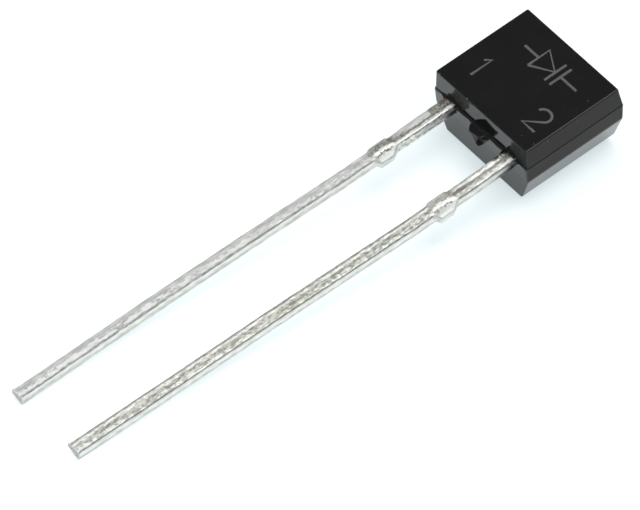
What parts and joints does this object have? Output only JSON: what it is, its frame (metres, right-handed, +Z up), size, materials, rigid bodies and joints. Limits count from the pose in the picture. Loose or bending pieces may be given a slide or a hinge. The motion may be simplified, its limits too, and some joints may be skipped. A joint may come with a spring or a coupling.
{
  "type": "varactor diode",
  "caption": "Flat-faced moulded varactor diode with parallel square leads. Its capacitance falls as the reverse voltage across the leads rises.",
  "frame": {"origin": "on the surface that the part lies on, below the middle of its overall length and width", "axes": "+Y from the lead tips towards the rear of the body, +Z up with the flat marked face upwards, +X from the cathode lead to the anode lead"},
  "size_m": [0.004, 0.0198, 0.0027],
  "materials": {
    "case": "black epoxy moulding compound with a faint sheen",
    "lead": "tin plating with uneven crystal patches",
    "die": "polished silicon",
    "attach": "silver-filled epoxy",
    "wire": "drawn gold wire"
  },
  "bodies": {
    "root": {"molded_case": "case", "anode_lead": "lead", "cathode_lead": "lead", "silicon_die": "die", "die_attach": "attach", "bond_wire": "wire"}
  },
  "joints": []
}
